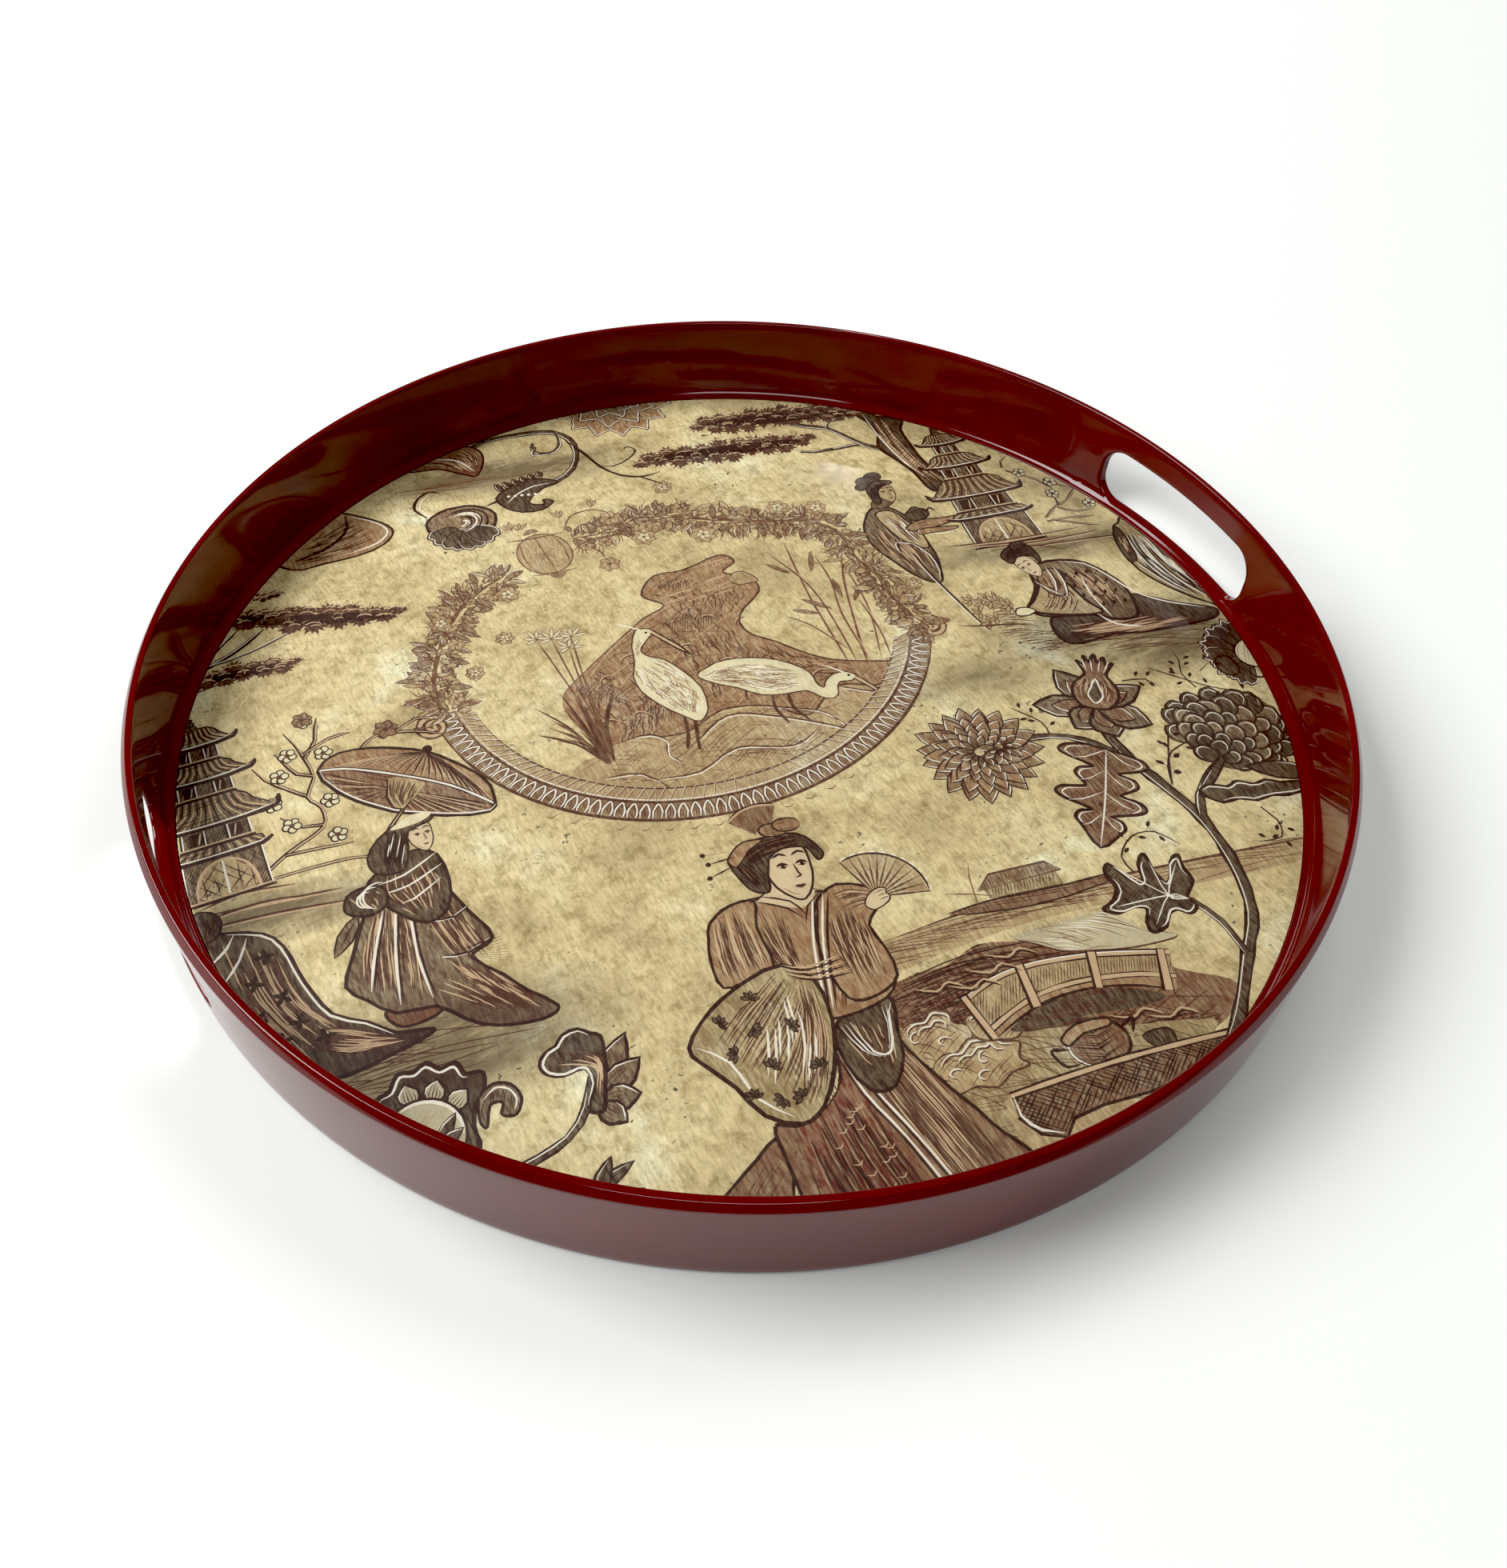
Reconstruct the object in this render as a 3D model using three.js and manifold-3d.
// Round serving tray with two hand slots: a one-piece moulded shell, a printed sheet
// bonded to its floor, a clear cover layer over the print and four non-slip pads.
// Millimetres, +Z up. The origin is the middle of the base on the plane the tray rests on,
// +X runs through the hand slots and +Y is the upright direction of the print.

import * as THREE from 'three';
import { mergeVertices } from 'three/addons/utils/BufferGeometryUtils.js';
import Module from 'manifold-3d';

const wasm = await Module();
wasm.setup();

// Driving dimensions of the shell
const RIM_RADIUS = 200;
const SHELL_HEIGHT = 38.6;
const RIM_DROP = 2.3; // height of the slope between the top face and the widest line
const RIM_TOP_OUTER = 198.4;
const RIM_TOP_INNER = 196.45;
const EDGE_RADIUS = 0.4; // rounding of the rim's two edges
const BASE_RADIUS = 197.3;
const BASE_ROUNDING = 1;
const WALL_FOOT_RADIUS = 194; // inner wall where it meets the fillet
const FILLET_RADIUS = 3.3;

// Floor, foot ring and pads
const FLOOR_THICKNESS = 2.1;
const FOOT_RING_WIDTH = 13;
const FOOT_RING_HEIGHT = 0.4;
const PAD_RADIUS = 8;
const PAD_PROUD = 0.6; // how far the pads stand below the foot ring
const PAD_EDGE = 0.25;
const PAD_CENTRE_RADIUS = 172;
const PAD_COUNT = 4;

// Layers bonded to the floor
const PRINT_RADIUS = 190.7;
const PRINT_THICKNESS = 0.18;
const COVER_THICKNESS = 0.28;
const GLUE_LINE = 0.02;
const SEAT_CLEARANCE = 0.3;

// Hand slots
const SLOT_WIDTH = 83;
const SLOT_HEIGHT = 23.2;
const SLOT_CORNER = 9.5;
const SLOT_SILL = 4.4; // above the shell's lower edge
const SLOT_CUT_DEPTH = 30;

// Facets
const TURNED_FACETS = 144;
const PAD_FACETS = 48;
const ARC_STEPS = 5;

const baseZ = PAD_PROUD;
const undersideZ = baseZ + FOOT_RING_HEIGHT;
const floorZ = undersideZ + FLOOR_THICKNESS;
const printZ = floorZ + GLUE_LINE;
const coverZ = printZ + PRINT_THICKNESS + GLUE_LINE;
const ledgeZ = coverZ + COVER_THICKNESS;
const topZ = baseZ + SHELL_HEIGHT;
const seatRadius = PRINT_RADIUS + SEAT_CLEARANCE;

const red = new THREE.MeshStandardMaterial({ color: 0x781412, roughness: 0.16, metalness: 0 });
const parchment = new THREE.MeshStandardMaterial({ color: 0xb9a972, roughness: 0.5, metalness: 0 });
const clear = new THREE.MeshStandardMaterial({
  color: 0xf2ecd6,
  roughness: 0.12,
  metalness: 0,
  transparent: true,
  opacity: 0.25,
});
const rubber = new THREE.MeshStandardMaterial({ color: 0x2b2727, roughness: 0.7, metalness: 0 });

/** Points of a circular arc, angles in degrees, both ends included. */
function arc(centreR, centreZ, radius, from, to, steps = ARC_STEPS) {
  const points = [];
  for (let i = 0; i <= steps; i += 1) {
    const angle = THREE.MathUtils.degToRad(from + ((to - from) * i) / steps);
    points.push([centreR + radius * Math.cos(angle), centreZ + radius * Math.sin(angle)]);
  }
  return points;
}

/** A solid turned about +Z from [radius, height] points that start and end on the axis. */
function turned(profile, facets) {
  const points = profile.map(([r, z]) => new THREE.Vector2(r, z));
  return new THREE.LatheGeometry(points, facets).rotateX(Math.PI / 2);
}

function solidOf(geometry) {
  const plain = geometry.clone();
  plain.deleteAttribute('normal');
  plain.deleteAttribute('uv');
  const welded = mergeVertices(plain, 1e-4);
  return new wasm.Manifold(
    new wasm.Mesh({
      numProp: 3,
      vertProperties: Float32Array.from(welded.attributes.position.array),
      triVerts: Uint32Array.from(welded.index.array),
    }),
  );
}

function geometryOf(solid) {
  const mesh = solid.getMesh();
  const geometry = new THREE.BufferGeometry();
  geometry.setAttribute('position', new THREE.BufferAttribute(mesh.vertProperties, 3));
  geometry.setIndex(new THREE.BufferAttribute(mesh.triVerts, 1));
  geometry.computeVertexNormals();
  return geometry;
}

function named(name, geometry, material) {
  const mesh = new THREE.Mesh(geometry, material);
  mesh.name = name;
  return mesh;
}

/** The shell's half section, from the axis under the floor round to the axis on top of it. */
function shellProfile() {
  const ringInner = BASE_RADIUS - FOOT_RING_WIDTH;
  const roundingR = BASE_RADIUS - BASE_ROUNDING;
  const slopeZ = topZ - RIM_DROP;
  const filletR = WALL_FOOT_RADIUS - FILLET_RADIUS;
  return [
    [0, undersideZ],
    [ringInner - FOOT_RING_HEIGHT, undersideZ],
    [ringInner, baseZ],
    ...arc(roundingR, baseZ + BASE_ROUNDING, BASE_ROUNDING, -90, 0),
    [RIM_RADIUS - EDGE_RADIUS / 4, slopeZ - EDGE_RADIUS],
    [RIM_RADIUS, slopeZ],
    [RIM_TOP_OUTER + EDGE_RADIUS / 2, topZ - EDGE_RADIUS],
    [RIM_TOP_OUTER, topZ],
    ...arc(RIM_TOP_INNER + EDGE_RADIUS, topZ - EDGE_RADIUS, EDGE_RADIUS, 90, 180, 3),
    ...arc(filletR, ledgeZ + FILLET_RADIUS, FILLET_RADIUS, 0, -90).filter(([r]) => r > seatRadius),
    [seatRadius, ledgeZ],
    [seatRadius, floorZ],
    [0, floorZ],
  ];
}

/** A rounded-corner bar along X that cuts one hand slot through the wall on side +1 or -1. */
function slotCutter(side) {
  const halfWidth = SLOT_WIDTH / 2;
  const halfHeight = SLOT_HEIGHT / 2;
  const corners = [
    [1, -1, -90],
    [1, 1, 0],
    [-1, 1, 90],
    [-1, -1, 180],
  ];
  const outline = corners.flatMap(([sideY, sideZ, from]) =>
    arc(
      sideY * (halfWidth - SLOT_CORNER),
      sideZ * (halfHeight - SLOT_CORNER),
      SLOT_CORNER,
      from,
      from + 90,
      ARC_STEPS * 2,
    ),
  );
  const shape = new THREE.Shape(outline.map(([y, z]) => new THREE.Vector2(y, z)));
  const bar = new THREE.ExtrudeGeometry(shape, { depth: SLOT_CUT_DEPTH, bevelEnabled: false });
  bar.rotateX(Math.PI / 2).rotateZ(Math.PI / 2);
  const centreX = side * (WALL_FOOT_RADIUS + EDGE_RADIUS) - SLOT_CUT_DEPTH / 2;
  return bar.translate(centreX, 0, baseZ + SLOT_SILL + halfHeight);
}

function trayShell() {
  let shell = solidOf(turned(shellProfile(), TURNED_FACETS));
  for (const side of [1, -1]) {
    shell = shell.subtract(solidOf(slotCutter(side)));
  }
  return named('tray_shell', geometryOf(shell), red);
}

function disc(name, thickness, z, material) {
  const profile = [
    [0, 0],
    [PRINT_RADIUS, 0],
    [PRINT_RADIUS, thickness],
    [0, thickness],
  ];
  const mesh = named(name, turned(profile, TURNED_FACETS), material);
  mesh.position.z = z;
  return mesh;
}

function pad(index) {
  const height = undersideZ - GLUE_LINE;
  const profile = [
    [0, 0],
    [PAD_RADIUS - PAD_EDGE, 0],
    [PAD_RADIUS, PAD_EDGE],
    [PAD_RADIUS, height],
    [0, height],
  ];
  const mesh = named(`non_slip_pad_${index + 1}`, turned(profile, PAD_FACETS), rubber);
  const angle = (2 * Math.PI * (index + 0.5)) / PAD_COUNT;
  mesh.position.set(PAD_CENTRE_RADIUS * Math.cos(angle), PAD_CENTRE_RADIUS * Math.sin(angle), 0);
  return mesh;
}

const tray = new THREE.Group();
tray.add(trayShell());
tray.add(disc('print_sheet', PRINT_THICKNESS, printZ, parchment));
tray.add(disc('clear_cover', COVER_THICKNESS, coverZ, clear));
for (let i = 0; i < PAD_COUNT; i += 1) {
  tray.add(pad(i));
}

export default tray;
